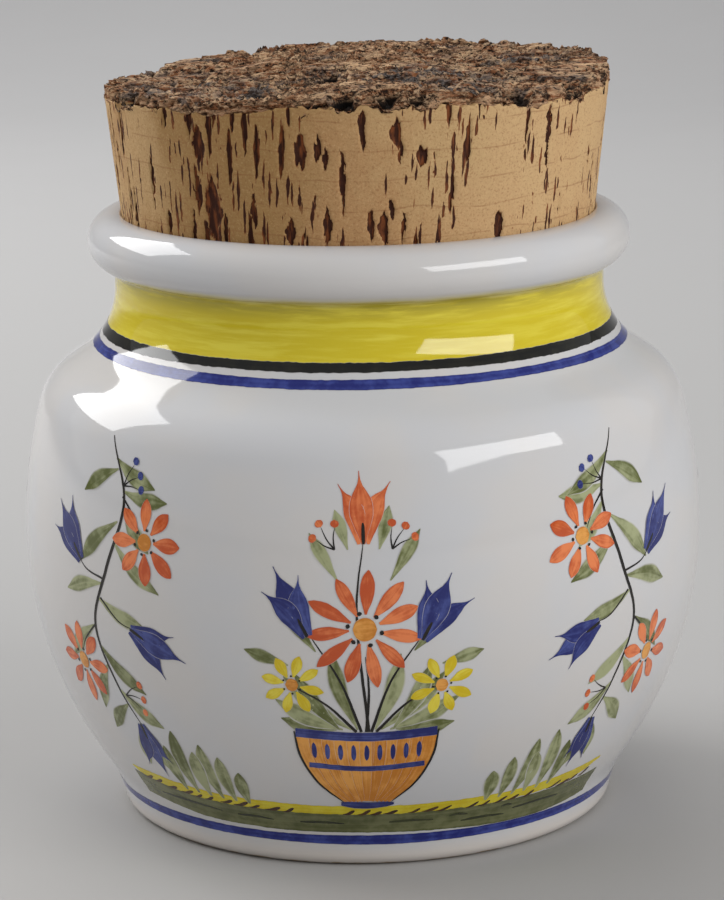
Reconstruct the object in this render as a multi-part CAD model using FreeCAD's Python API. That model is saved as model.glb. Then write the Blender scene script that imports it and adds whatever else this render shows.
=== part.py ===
"""A round-bellied ceramic storage jar, shut by a wide stopper of natural cork.

Millimetres, +Z up. The origin is the middle of the circle on which the jar stands, and its front faces -Y.
The jar and its stopper are two solids. The jar is solid below its mouth, because the stopper shuts it.
"""

import FreeCAD
import Part
import math
import os

from FreeCAD import Vector

# The jar is turned, and its outline runs through arcs and straight runs that meet without a corner.
# A lean is the angle in degrees between the wall and the upright, and a curve is the radius of an arc.
BELLY_RADIUS = 70.0  # the widest circle
LOWER_BELLY_CURVE = 82.0
FLARE_LEAN = 35.0  # where the belly passes into the flare above the foot
FLARE_CURVE = 22.3
FOOT_LEAN = 10.5  # where the flare passes into the foot's rounded edge
FOOT_EDGE_CURVE = 3.0
FOOT_RING_WIDTH = 6.5  # the flat ring on which the jar stands
FOOT_RECESS = 1.2  # height of the underside above the ring

UPPER_BELLY_CURVE = 105.0
SHOULDER_LEAN = 15.0  # where the belly passes into the rounded shoulder
SHOULDER_CURVE = 13.4
SLOPE_LEAN = 56.0  # the sloping top of the shoulder
SLOPE_LENGTH = 4.2
NECK_CURVE = 16.6
NECK_TO_LIP = 9.4  # from the end of the neck's arc to the middle of the lip

LIP_CURVE = 5.6  # the rolled lip's section
LIP_REACH = 5.4  # from the neck to the outermost circle of the lip
LIP_FILLET = 2.0  # the glaze pooled under the lip
NECK_WALL = 1.7  # from the upper edge of the seat out to the radius of the neck

# The stopper is a tapered plug, and the mouth's seat has the same taper.
STOPPER_TAPER = 0.11  # change of radius with height
STOPPER_IN_NECK = 17.0  # length below the crest of the lip
STOPPER_SHOWN = 28.4  # length above the crest, under the middle of the bark
STOPPER_CLEARANCE = 0.15  # between the stopper and its seat
STOPPER_BEVEL = 1.0  # round its lower edge

# The stopper's upper face is the tree's outer bark, which slants and undulates.
BARK_RISE_TO_RIGHT = 0.024
BARK_DROP_TO_BACK = 0.004
BARK_WAVES = (  # height of each wave, its length, its direction and its phase, both in degrees
    (0.80, 100.0, 160.5, 93.5),
    (0.80, 63.6, 17.0, 105.7),
    (0.41, 40.7, 140.6, 310.9),
)
BARK_NET = 15  # points along each side of the net that carries the bark's surface
SPARE = 8.0  # how far blanks and cutters run past what they shape


def sine(degrees):
    """Sine of an angle in degrees."""
    return math.sin(math.radians(degrees))


def cosine(degrees):
    """Cosine of an angle in degrees."""
    return math.cos(math.radians(degrees))


class Outline:
    """An outline in the XZ plane, in which each run leaves where the last one ended, and in its direction.

    A heading is the direction of travel in degrees: 0 is outwards from the axis, and 90 is up.
    """

    def __init__(self, radius, level, heading):
        """Start at a radius and a level, with a heading."""
        self.radius = radius
        self.level = level
        self.heading = heading
        self.edges = []

    @property
    def end(self):
        """The place that the outline has reached."""
        return Vector(self.radius, 0, self.level)

    def line_to(self, radius, level):
        """Run straight to a place."""
        start = self.end
        self.radius, self.level = radius, level
        self.edges.append(Part.LineSegment(start, self.end).toShape())
        return self

    def straight(self, length):
        """Run straight ahead."""
        return self.line_to(
            self.radius + length * cosine(self.heading),
            self.level + length * sine(self.heading),
        )

    def bend(self, curve, heading):
        """Run along an arc of the radius given until the heading is reached."""
        start = self.end
        side = math.copysign(1.0, heading - self.heading)
        centre = start + Vector(-sine(self.heading), 0, cosine(self.heading)) * (side * curve)
        places = [
            centre + Vector(sine(angle), 0, -cosine(angle)) * (side * curve)
            for angle in ((self.heading + heading) / 2, heading)
        ]
        self.radius, self.level, self.heading = places[1].x, places[1].z, heading
        self.edges.append(Part.Arc(start, *places).toShape())
        return self


BELLY_LEVEL = (
    LOWER_BELLY_CURVE * sine(FLARE_LEAN)
    + FLARE_CURVE * (sine(FLARE_LEAN) - sine(FOOT_LEAN))
    + FOOT_EDGE_CURVE * (1 - sine(FOOT_LEAN))
)


def wall_above_belly():
    """The outline from the belly's widest circle up to the end of the neck's arc."""
    outline = Outline(BELLY_RADIUS, BELLY_LEVEL, 90)
    outline.bend(UPPER_BELLY_CURVE, 90 + SHOULDER_LEAN)
    outline.bend(SHOULDER_CURVE, 90 + SLOPE_LEAN)
    outline.straight(SLOPE_LENGTH)
    return outline.bend(NECK_CURVE, 90)


NECK = wall_above_belly().end
LIP_CENTRE_RADIUS = NECK.x + LIP_REACH - LIP_CURVE  # the middle of the rolled section
LIP_CENTRE_LEVEL = NECK.z + NECK_TO_LIP
CREST_LEVEL = LIP_CENTRE_LEVEL + LIP_CURVE
SEAT_RADIUS = NECK.x - NECK_WALL  # the seat's upper edge, on the lip's inner side
SEAT_HEADING = 180 + math.degrees(math.asin((LIP_CENTRE_RADIUS - SEAT_RADIUS) / LIP_CURVE))
SEAT_LEVEL = LIP_CENTRE_LEVEL - LIP_CURVE * cosine(SEAT_HEADING)
STOPPER_BOTTOM = CREST_LEVEL - STOPPER_IN_NECK
STOPPER_TOP = CREST_LEVEL + STOPPER_SHOWN


def seat_radius(level):
    """Radius of the mouth's tapered seat at a level."""
    return SEAT_RADIUS + STOPPER_TAPER * (level - SEAT_LEVEL)


def stopper_radius(level):
    """Radius of the stopper's side at a level."""
    return seat_radius(level) - STOPPER_CLEARANCE


def wall_below_belly():
    """The outline from the belly's widest circle down to the axis, over the foot ring."""
    outline = Outline(BELLY_RADIUS, BELLY_LEVEL, -90)
    outline.bend(LOWER_BELLY_CURVE, -90 - FLARE_LEAN)
    outline.bend(FLARE_CURVE, -90 - FOOT_LEAN)
    outline.bend(FOOT_EDGE_CURVE, -180)
    outline.straight(FOOT_RING_WIDTH)
    outline.line_to(outline.radius - FOOT_RECESS, FOOT_RECESS)
    return outline.line_to(0, FOOT_RECESS)


def add_lip(outline):
    """Carry the outline on from the neck, over the rolled lip, to the upper edge of the seat."""
    fillet_out = NECK.x + LIP_FILLET - LIP_CENTRE_RADIUS
    fillet_down = math.sqrt((LIP_CURVE + LIP_FILLET) ** 2 - fillet_out**2)
    outline.straight(NECK_TO_LIP - fillet_down)
    outline.bend(LIP_FILLET, 90 - math.degrees(math.atan2(fillet_down, fillet_out)))
    outline.bend(LIP_CURVE, 180)
    return outline.bend(LIP_CURVE, SEAT_HEADING)


def jar_body():
    """The jar, turned about its axis, with a tapered seat for the stopper in its mouth."""
    below = wall_below_belly()
    above = add_lip(wall_above_belly())
    floor_level = STOPPER_BOTTOM - STOPPER_CLEARANCE
    above.line_to(seat_radius(floor_level), floor_level)
    above.line_to(0, floor_level)
    above.line_to(0, below.level)
    outline = Part.Wire(below.edges[::-1] + above.edges)
    return Part.Face(outline).revolve(Vector(0, 0, 0), Vector(0, 0, 1), 360)


def bark_level(x, y):
    """Level of the bark over a point of the stopper."""
    level = STOPPER_TOP + BARK_RISE_TO_RIGHT * x - BARK_DROP_TO_BACK * y
    for height, length, direction, phase in BARK_WAVES:
        along = x * cosine(direction) + y * sine(direction)
        level += height * sine(360 * along / length + phase)
    return level


def below_bark(half_width, depth):
    """A block whose upper face is the bark's surface, from which the stopper takes its top."""
    places = [half_width * (2 * i / (BARK_NET - 1) - 1) for i in range(BARK_NET)]
    surface = Part.BSplineSurface()
    surface.interpolate([[Vector(x, y, bark_level(x, y)) for y in places] for x in places])
    return surface.toShape().extrude(Vector(0, 0, -depth))


def cork_stopper():
    """The stopper: a tapered plug of cork, its upper face the uneven bark."""
    blank_top = STOPPER_TOP + SPARE
    bevel_level = STOPPER_BOTTOM + STOPPER_BEVEL
    side = Outline(0, STOPPER_BOTTOM, 0)
    side.line_to(stopper_radius(bevel_level) - STOPPER_BEVEL, STOPPER_BOTTOM)
    side.line_to(stopper_radius(bevel_level), bevel_level)
    side.line_to(stopper_radius(blank_top), blank_top)
    side.line_to(0, blank_top)
    side.line_to(0, STOPPER_BOTTOM)
    blank = Part.Face(Part.Wire(side.edges)).revolve(Vector(0, 0, 0), Vector(0, 0, 1), 360)
    return blank.common(below_bark(stopper_radius(blank_top) + SPARE, blank_top - STOPPER_BOTTOM + SPARE))


def export(node, shape):
    """Write the one solid of a piece to its STEP file, and print its volume."""
    solid = shape.Solids[0]
    assert solid.isValid() and len(shape.Solids) == 1, node
    solid.exportStep(f"parts/{node}.step")
    print(node, round(solid.Volume / 1000, 1), "cubic centimetres")


def main():
    """Build both pieces and write them to parts/."""
    os.makedirs("parts", exist_ok=True)
    export("jar_body", jar_body())
    export("cork_stopper", cork_stopper())


if __name__ == "__main__":
    main()
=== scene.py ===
"""Looks of a round-bellied ceramic storage jar, shut by a wide stopper of natural cork.

Metres, +Z up, and the jar's front faces -Y. Sizes in the classes are in millimetres and degrees, and
MM turns them into metres, but the studio's sizes are in metres already. The jar is a turned outline.
The stopper's side and its bark are nets that are bent round the axis and follow the plain solid. The
painting is a set of brush strokes, planned on an unrolled wall and then laid round the jar.
"""

import logging
import math
import random
from collections.abc import Iterable
from dataclasses import dataclass, field
from enum import Enum

import bpy
from mathutils import Euler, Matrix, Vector


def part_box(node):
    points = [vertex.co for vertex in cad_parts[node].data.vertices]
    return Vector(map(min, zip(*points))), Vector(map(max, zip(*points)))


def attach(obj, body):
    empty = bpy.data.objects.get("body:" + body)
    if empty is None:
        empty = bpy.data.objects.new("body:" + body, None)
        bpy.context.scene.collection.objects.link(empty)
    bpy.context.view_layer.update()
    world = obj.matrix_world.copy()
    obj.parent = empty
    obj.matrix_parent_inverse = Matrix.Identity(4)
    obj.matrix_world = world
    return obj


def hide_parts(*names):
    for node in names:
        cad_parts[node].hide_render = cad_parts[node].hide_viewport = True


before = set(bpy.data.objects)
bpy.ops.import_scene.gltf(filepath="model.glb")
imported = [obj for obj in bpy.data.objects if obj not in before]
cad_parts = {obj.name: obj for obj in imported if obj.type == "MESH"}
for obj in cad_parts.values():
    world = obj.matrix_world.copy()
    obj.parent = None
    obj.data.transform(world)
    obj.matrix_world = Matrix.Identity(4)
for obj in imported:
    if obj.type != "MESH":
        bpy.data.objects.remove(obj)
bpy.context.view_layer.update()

LOG = logging.getLogger("storage_jar")
MM = 0.001
BODY = "root"
JAR_NODE = "jar_body"
STOPPER_NODE = "cork_stopper"
GLAZE_SLOT = "glaze"
CORK_SLOT = "cork"
STROKE_MAP = "stroke"
STROKE_NUMBER = "stroke_number"
CLEAR = 0.2  # a height, or a distance from the axis, that lies outside of all pieces, in metres

Colour = tuple[float, float, float, float]
Place = tuple[float, float]
Row = tuple[float, float, float]
Oval = tuple[float, float, float, float]


def paint(red: int, green: int, blue: int) -> Colour:
    """A colour given in display values from 0 to 255, as the linear values that shaders take.

    Args:
        red: Display value of the red part.
        green: Display value of the green part.
        blue: Display value of the blue part.

    Returns:
        The linear colour, fully opaque.
    """
    parts = [value / 255 for value in (red, green, blue)]
    linear = [p / 12.92 if p <= 0.04045 else ((p + 0.055) / 1.055) ** 2.4 for p in parts]
    return linear[0], linear[1], linear[2], 1.0


def sine(degrees: float) -> float:
    """Sine of an angle in degrees."""
    return math.sin(math.radians(degrees))


def cosine(degrees: float) -> float:
    """Cosine of an angle in degrees."""
    return math.cos(math.radians(degrees))


def shown(name: str, data: bpy.types.ID) -> bpy.types.Object:
    """Makes an object and puts it in the scene.

    Args:
        name: The object's name.
        data: Its mesh, curve, lamp or camera.

    Returns:
        The object.
    """
    made = bpy.data.objects.new(name, data)
    bpy.context.scene.collection.objects.link(made)
    return made


# ---------------------------------------------------------------- node trees


class Value:
    """What a node gives, a number, a vector or a colour, with the usual signs for sums on it."""

    def __init__(self, graph: "Graph", socket: bpy.types.NodeSocket) -> None:
        """Keeps the output and the tree that it is in."""
        self.graph = graph
        self.socket = socket

    def worked(self, operation: str, first: "Reading", second: "Reading") -> "Value":
        """A sum, on vectors if either side is one.

        Args:
            operation: What is done with the two.
            first: The left side.
            second: The right side.

        Returns:
            The result.
        """
        wide = is_vector(first), is_vector(second)
        if operation == "MULTIPLY" and wide == (True, False):
            return self.graph.read("ShaderNodeVectorMath", {0: first, "Scale": second}, operation="SCALE")
        if any(wide):
            return self.graph.vector(operation, first, second)
        return self.graph.maths(operation, first, second)

    def __add__(self, other: "Reading") -> "Value":
        """This plus the other."""
        return self.worked("ADD", self, other)

    def __sub__(self, other: "Reading") -> "Value":
        """This less the other."""
        return self.worked("SUBTRACT", self, other)

    def __rsub__(self, other: "Reading") -> "Value":
        """The other less this."""
        return self.worked("SUBTRACT", other, self)

    def __mul__(self, other: "Reading") -> "Value":
        """This times the other."""
        return self.worked("MULTIPLY", self, other)

    def __truediv__(self, other: "Reading") -> "Value":
        """This divided by the other."""
        return self.worked("DIVIDE", self, other)

    def __lt__(self, other: "Reading") -> "Value":
        """1 where this is less than the other, and 0 elsewhere."""
        return self.worked("LESS_THAN", self, other)

    def __gt__(self, other: "Reading") -> "Value":
        """1 where this is more than the other, and 0 elsewhere."""
        return self.worked("GREATER_THAN", self, other)


Reading = Value | float | tuple


def is_vector(value: Reading) -> bool:
    """Whether a value is a vector or a colour."""
    return isinstance(value, tuple) or isinstance(value, Value) and value.socket.type in ("VECTOR", "RGBA")


class Graph:
    """Adds nodes to one tree, of a material or of a shape, and joins them up."""

    def __init__(self, tree: bpy.types.NodeTree) -> None:
        """Works on a tree."""
        self.tree = tree

    def put(self, value: object, socket: bpy.types.NodeSocket) -> None:
        """Joins an output to an input, or sets the input.

        Args:
            value: The output, or a plain value.
            socket: The input.
        """
        if isinstance(value, Value):
            self.tree.links.new(value.socket, socket)
        else:
            socket.default_value = value

    def add(self, kind: str, inputs: dict | None = None, **settings: object) -> bpy.types.Node:
        """Adds a node.

        Args:
            kind: The node's type name.
            inputs: A value for each named or numbered input.
            **settings: The node's own properties.

        Returns:
            The node.
        """
        node = self.tree.nodes.new(kind)
        for name, value in settings.items():
            setattr(node, name, value)
        for key, value in (inputs or {}).items():
            self.put(value, node.inputs[key])
        return node

    def read(self, kind: str, inputs: dict | None = None, output: int | str = 0, **settings: object) -> Value:
        """Adds a node and reads one of its outputs.

        Args:
            kind: The node's type name.
            inputs: A value for each named or numbered input.
            output: The output's number or name.
            **settings: The node's own properties.

        Returns:
            The output's value.
        """
        return Value(self, self.add(kind, inputs, **settings).outputs[output])

    def maths(self, operation: str, *values: Reading) -> Value:
        """A sum on numbers."""
        return self.read("ShaderNodeMath", dict(enumerate(values)), operation=operation)

    def vector(self, operation: str, *values: Reading) -> Value:
        """A sum on vectors, whose result is a number for a length."""
        output = "Value" if operation == "LENGTH" else "Vector"
        return self.read("ShaderNodeVectorMath", dict(enumerate(values)), output, operation=operation)

    def highest(self, first: Reading, *others: Reading) -> Value:
        """The highest of some numbers.

        Args:
            first: One of them.
            *others: The rest.

        Returns:
            The highest.
        """
        for other in others:
            first = self.maths("MAXIMUM", first, other)
        return first

    def clamped(self, value: Reading) -> Value:
        """A number held between 0 and 1."""
        return self.maths("MINIMUM", self.maths("MAXIMUM", value, 0.0), 1.0)

    def joined(self, x: Reading, y: Reading, z: Reading) -> Value:
        """A vector from its three parts."""
        return self.read("ShaderNodeCombineXYZ", {0: x, 1: y, 2: z})

    def parts(self, vector: Value) -> tuple[Value, ...]:
        """The three parts of a vector."""
        return tuple(Value(self, part) for part in self.add("ShaderNodeSeparateXYZ", {0: vector}).outputs)

    def ramp(
        self, value: Reading, low: float, high: float, first: float = 0.0, last: float = 1.0
    ) -> Value:
        """A value carried smoothly from one range to another, and held at its ends.

        Args:
            value: The number to carry over.
            low: Where the first range begins.
            high: Where the first range ends.
            first: The result at low.
            last: The result at high.

        Returns:
            The result.
        """
        inputs = {0: value, 1: low, 2: high, 3: first, 4: last}
        return self.read("ShaderNodeMapRange", inputs, interpolation_type="SMOOTHSTEP")

    def mixed(self, share: Reading, base: Reading, other: Reading) -> Value:
        """A colour between two others: the base at a share of 0, the other at 1."""
        return self.read("ShaderNodeMix", {0: share, 6: base, 7: other}, 2, data_type="RGBA")

    def coated(self, base: Reading, *coats: tuple[Reading, Reading]) -> Value:
        """A colour under coats of others.

        Args:
            base: The lowest colour.
            *coats: How much each coat covers, from 0 to 1, and its colour.

        Returns:
            The colour that shows.
        """
        for share, colour in coats:
            base = self.mixed(share, base, colour)
        return base

    def noise(self, place: Reading, scale: float, detail: float = 2.0, rough: float = 0.5) -> Value:
        """Soft noise from 0 to 1, mostly near its middle.

        Args:
            place: Where the noise is read.
            scale: How many lumps there are in one unit.
            detail: How many finer noises are added.
            rough: How strong the finer ones are.

        Returns:
            The noise.
        """
        inputs = {"Vector": place, "Scale": scale, "Detail": detail, "Roughness": rough}
        return self.read("ShaderNodeTexNoise", inputs)

    def drift(self, place: Reading, scale: float, detail: float) -> Value:
        """A vector of noise, each part from -0.5 to 0.5.

        Args:
            place: Where the noise is read.
            scale: How many lumps there are in one unit.
            detail: How many finer noises are added.

        Returns:
            The vector.
        """
        inputs = {"Vector": place, "Scale": scale, "Detail": detail}
        return self.read("ShaderNodeTexNoise", inputs, 1) - (0.5, 0.5, 0.5)

    def round_axis(self, place: Reading) -> Value:
        """The direction of a place from the upright axis, level and one long."""
        x, y, _ = self.parts(place)
        return self.vector("NORMALIZE", self.joined(x, y, 0.0))

    def polar(self, around: Reading, radius: Reading, level: Reading) -> Value:
        """The place in a direction from the upright axis, at a radius and a height."""
        return around * radius + self.joined(0.0, 0.0, level)

    def oval(self, place: Reading, shape: Oval, pointed: bool = False) -> Value:
        """How far a place lies within an upright oval column.

        Args:
            place: The place in millimetres.
            shape: The middle's x and y, and half the width along x and along y, in millimetres.
            pointed: Whether the oval's ends are drawn out to points.

        Returns:
            From 0 outside to 1 well inside.
        """
        x, y, wide, long = shape
        off = (place - (x, y, 0.0)) * (1.0 / wide, 1.0 / long, 0.0)
        if not pointed:
            return self.ramp(self.vector("LENGTH", off), 1.1, 0.8)
        across, along, _ = self.parts(self.vector("ABSOLUTE", off))
        return self.ramp(self.maths("POWER", across, 1.3) + self.maths("POWER", along, 1.3), 1.25, 0.85)


class Shape(Graph):
    """A tree of geometry nodes, whose inputs are named."""

    def __init__(self, name: str, **inputs: str) -> None:
        """Starts a tree.

        Args:
            name: The tree's name.
            **inputs: For each of its inputs, the type name of its socket.
        """
        tree = bpy.data.node_groups.new(name, "GeometryNodeTree")
        super().__init__(tree)
        tree.interface.new_socket("Geometry", in_out="OUTPUT", socket_type="NodeSocketGeometry")
        for key, kind in {"Geometry": "Geometry", **inputs}.items():
            tree.interface.new_socket(key, in_out="INPUT", socket_type=f"NodeSocket{kind}")
        self.entries = tree.nodes.new("NodeGroupInput").outputs
        self.position = self.read("GeometryNodeInputPosition")

    def given(self, name: str) -> Value:
        """One of the tree's inputs."""
        return Value(self, self.entries[name])

    def geometry_of(self, name: str) -> Value:
        """The geometry of the object that an input names."""
        return self.read("GeometryNodeObjectInfo", {"Object": self.given(name)}, "Geometry")

    def found(self, target: Value, start: Reading, direction: Reading) -> tuple[Value, Value]:
        """Looks along a line for a surface.

        Args:
            target: The geometry that is looked for.
            start: Where the line starts, in metres.
            direction: The line's direction.

        Returns:
            The place that was met, and the surface's normal there.
        """
        inputs = {"Target Geometry": target, "Source Position": start, "Ray Direction": direction}
        node = self.add("GeometryNodeRaycast", {**inputs, "Ray Length": 2 * CLEAR})
        return Value(self, node.outputs["Hit Position"]), Value(self, node.outputs["Hit Normal"])

    def held(
        self, geometry: Value, name: str, value: Value, kind: str = "FLOAT", domain: str = "POINT"
    ) -> Value:
        """Stores a value under a name on each element.

        Args:
            geometry: What the value goes on.
            name: The value's name.
            value: The value.
            kind: The value's data type.
            domain: Which elements take it.

        Returns:
            The geometry with the value.
        """
        inputs = {"Geometry": geometry, "Name": name}
        node = self.add("GeometryNodeStoreNamedAttribute", inputs, data_type=kind, domain=domain)
        self.put(value, next(s for s in node.inputs if s.name == "Value" and s.enabled))
        return Value(self, node.outputs[0])

    def turned_net(self, across: Value, up: Reading) -> tuple[Value, Value, Value]:
        """A net to be bent round the axis.

        Args:
            across: How many steps it has round the axis.
            up: How many points it has from its first row to its last.

        Returns:
            The net, each point's direction from the axis, and its row.
        """
        net = self.read("GeometryNodeMeshGrid", {"Vertices X": across + 1.0, "Vertices Y": up})
        index = self.read("GeometryNodeInputIndex")
        column = self.maths("FLOOR", (index + 0.5) / up)
        angle = column / across * math.tau
        around = self.joined(self.maths("COSINE", angle), self.maths("SINE", angle), 0.0)
        return net, around, self.maths("FLOORED_MODULO", index, up)

    def end(self, geometry: Value, place: Value, flipped: bool = False) -> None:
        """Ends the tree: places the points, closes seams and poles, smooths, and gives the material.

        Args:
            geometry: The geometry.
            place: Its points' places in metres.
            flipped: True to turn its faces over.
        """
        moved = self.read("GeometryNodeSetPosition", {"Geometry": geometry, "Position": place})
        closed = self.read("GeometryNodeMergeByDistance", {"Geometry": moved, "Distance": 2e-7})
        if flipped:
            closed = self.read("GeometryNodeFlipFaces", {"Mesh": closed})
        smooth = self.read("GeometryNodeSetShadeSmooth", {"Geometry": closed})
        solid = self.read("GeometryNodeRealizeInstances", {"Geometry": smooth})
        inputs = {"Geometry": solid, "Material": self.given("Material")}
        self.put(self.read("GeometryNodeSetMaterial", inputs), self.add("NodeGroupOutput").inputs[0])


def grown_piece(
    name: str, shape: Shape, blank: bpy.types.Mesh | None = None, **values: object
) -> bpy.types.Object:
    """Makes a plain mesh piece with a tree of geometry nodes.

    Args:
        name: The piece's name.
        shape: The tree.
        blank: The mesh that the tree starts from, if it needs one.
        **values: A value for each of the tree's named inputs.

    Returns:
        The piece, at the origin, with no modifier.
    """
    carrier = shown(f"{name}_blank", blank or bpy.data.meshes.new(f"{name}_blank"))
    modifier = carrier.modifiers.new("shape", "NODES")
    modifier.node_group = shape.tree
    for item in shape.tree.interface.items_tree:
        if item.item_type == "SOCKET" and item.in_out == "INPUT" and item.name in values:
            modifier[item.identifier] = values[item.name]
    bpy.context.view_layer.update()
    graph = bpy.context.evaluated_depsgraph_get()
    mesh = bpy.data.meshes.new_from_object(
        carrier.evaluated_get(graph), preserve_all_data_layers=True, depsgraph=graph
    )
    carrier.modifiers.remove(modifier)
    bpy.data.objects.remove(carrier)
    mesh.name = name
    return shown(name, mesh)


def fitted(piece: bpy.types.Object, slot: str, *nodes: str) -> bpy.types.Object:
    """Fastens a finished piece to the object's one body, and reports it.

    Args:
        piece: The piece.
        slot: Not used.
        *nodes: The plain solids that it stands for.

    Returns:
        The piece.
    """
    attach(piece, BODY)
    if nodes:
        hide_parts(*nodes)
    LOG.info("%s: %d faces", piece.name, len(piece.data.polygons))
    return piece


# ---------------------------------------------------------------- finishes


class Surface(Graph):
    """The nodes of one material, read in millimetres on the piece."""

    def __init__(self, name: str) -> None:
        """Starts a material.

        Args:
            name: The material's name.
        """
        self.material = bpy.data.materials.new(name)
        self.material.use_nodes = True
        super().__init__(self.material.node_tree)
        self.place = self.read("ShaderNodeTexCoord", None, "Object") * (1 / MM)

    def kept(self, name: str) -> Value:
        """The number that the piece keeps under a name."""
        return self.read("ShaderNodeAttribute", None, "Fac", attribute_name=name)

    def finish(self, bump: Value | None = None, depth: float = 0.1, **inputs: object) -> bpy.types.Material:
        """Sets the shader and ends the material.

        Args:
            bump: Heights from 0 to 1, or None for a plain surface.
            depth: How many millimetres a height of 1 is.
            **inputs: A value for each input, an underscore standing for a space.

        Returns:
            The material.
        """
        if bump is not None:
            raised = {"Height": bump, "Distance": depth * MM, "Strength": 1.0}
            inputs["Normal"] = self.read("ShaderNodeBump", raised)
        for key, value in inputs.items():
            self.put(value, self.tree.nodes["Principled BSDF"].inputs[key.replace("_", " ")])
        return self.material


@dataclass(frozen=True)
class WhiteGlaze:
    """A glossy white tin glaze, brushed yellow round the neck, and bare clay at the foot's edge."""

    white: Colour = paint(203, 200, 198)
    cool_white: Colour = paint(199, 199, 201)
    cream: Colour = paint(206, 197, 188)
    yellow: Colour = paint(220, 205, 64)
    deep_yellow: Colour = paint(206, 186, 30)
    olive_yellow: Colour = paint(178, 164, 54)
    clay: Colour = paint(150, 130, 102)
    yellow_from: float = 100.8
    yellow_to: float = 113.2
    clay_to: float = 0.55
    cream_to: float = 3.5

    def material(self) -> bpy.types.Material:
        """Builds the material.

        Returns:
            The material.
        """
        s = Surface("white_glaze")
        level = s.parts(s.place)[2]
        # brush streaks run round the neck, so they are read finely upwards and coarsely round the axis
        run = s.polar(s.round_axis(s.place), 3.2, level * 0.75)
        streak = s.noise(run, 1.0, 4.0, 0.62)
        dull = s.ramp(level, self.yellow_to - 4.5, self.yellow_to - 0.5) * s.ramp(streak, 0.66, 0.40)
        yellow = s.coated(
            self.deep_yellow,
            (s.ramp(streak, 0.40, 0.66), self.yellow),
            (s.ramp(s.noise(run, 0.42, 1.0), 0.62, 0.40, 0.0, 0.35), self.deep_yellow),
            (dull, self.olive_yellow),
        )
        edge = level + s.ramp(streak, 0.3, 0.7, -0.5, 0.5)
        over = s.ramp(edge, self.yellow_from - 0.1, self.yellow_from + 0.1)
        under = s.ramp(edge, self.yellow_to + 1.5, self.yellow_to - 0.9)
        ragged = level + s.ramp(s.noise(s.place, 0.3), 0.3, 0.7, -0.2, 0.2)
        bare = s.ramp(ragged, self.clay_to + 0.12, self.clay_to - 0.12)
        colour = s.coated(
            self.white,
            (s.ramp(s.noise(s.place, 0.045), 0.35, 0.65), self.cool_white),
            (s.ramp(level, self.cream_to + 1.5, self.cream_to - 1.5, 0.0, 0.7), self.cream),
            (over * under, yellow),
            (bare, self.clay),
        )
        rough = s.ramp(bare, 0.0, 1.0, 0.055, 0.75)
        waves = s.noise(s.place, 0.022, 1.0)
        return s.finish(waves, 0.5, Base_Color=colour, Roughness=rough, IOR=1.5)


@dataclass(frozen=True)
class Pigment:
    """A colour brushed under the glaze: thin and pale at places, pooled and deep at others."""

    name: str
    deep: Colour
    pale: Colour
    bristles: float = 7.0  # streaks across a stroke
    thin: float = 0.5  # how much of a stroke is pale
    rim: float = 0.3  # how much deeper a stroke's outline is
    soft: float = 0.0  # how much of a stroke's half width fades into the white
    white: Colour = paint(203, 200, 198)

    def material(self) -> bpy.types.Material:
        """Builds the material.

        Returns:
            The material.
        """
        s = Surface(self.name)
        number = s.kept(STROKE_NUMBER)
        across, along, _ = s.parts(s.read("ShaderNodeUVMap", uv_map=STROKE_MAP))
        streak = s.noise(s.joined(across * self.bristles, along * 1.1, number), 1.0)
        blot = s.noise(s.place + s.joined(number, 0.0, 0.0), 0.30, 3.0, 0.6)
        thinness = s.ramp(streak, 0.32, 0.70, self.thin - 0.22, self.thin + 0.22)
        thinness = thinness + s.ramp(blot, 0.32, 0.68, -0.28, 0.28)
        # a stroke begins pale, and its colour pools where the brush lifts
        thinness = thinness + s.ramp(along, 0.0, 0.4, 0.14, 0.0) - s.ramp(along, 0.68, 1.0, 0.0, self.rim)
        mood = s.noise(s.joined(number * 0.731, 0.5, 0.5), 1.0, 0.0)
        side = s.maths("ABSOLUTE", across - 0.5)
        share = thinness + s.ramp(mood, 0.25, 0.75, -0.3, 0.3) - s.ramp(side, 0.34, 0.49, 0.0, self.rim)
        colour = s.mixed(s.ramp(share, 0.0, 1.0), self.deep, self.pale)
        if self.soft:
            colour = s.mixed(s.ramp(side, 0.5 - self.soft / 2, 0.5, 0.0, 0.8), colour, self.white)
        return s.finish(s.noise(s.place, 0.022, 1.0), 0.5, Base_Color=colour, Roughness=0.06, IOR=1.5)


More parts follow.
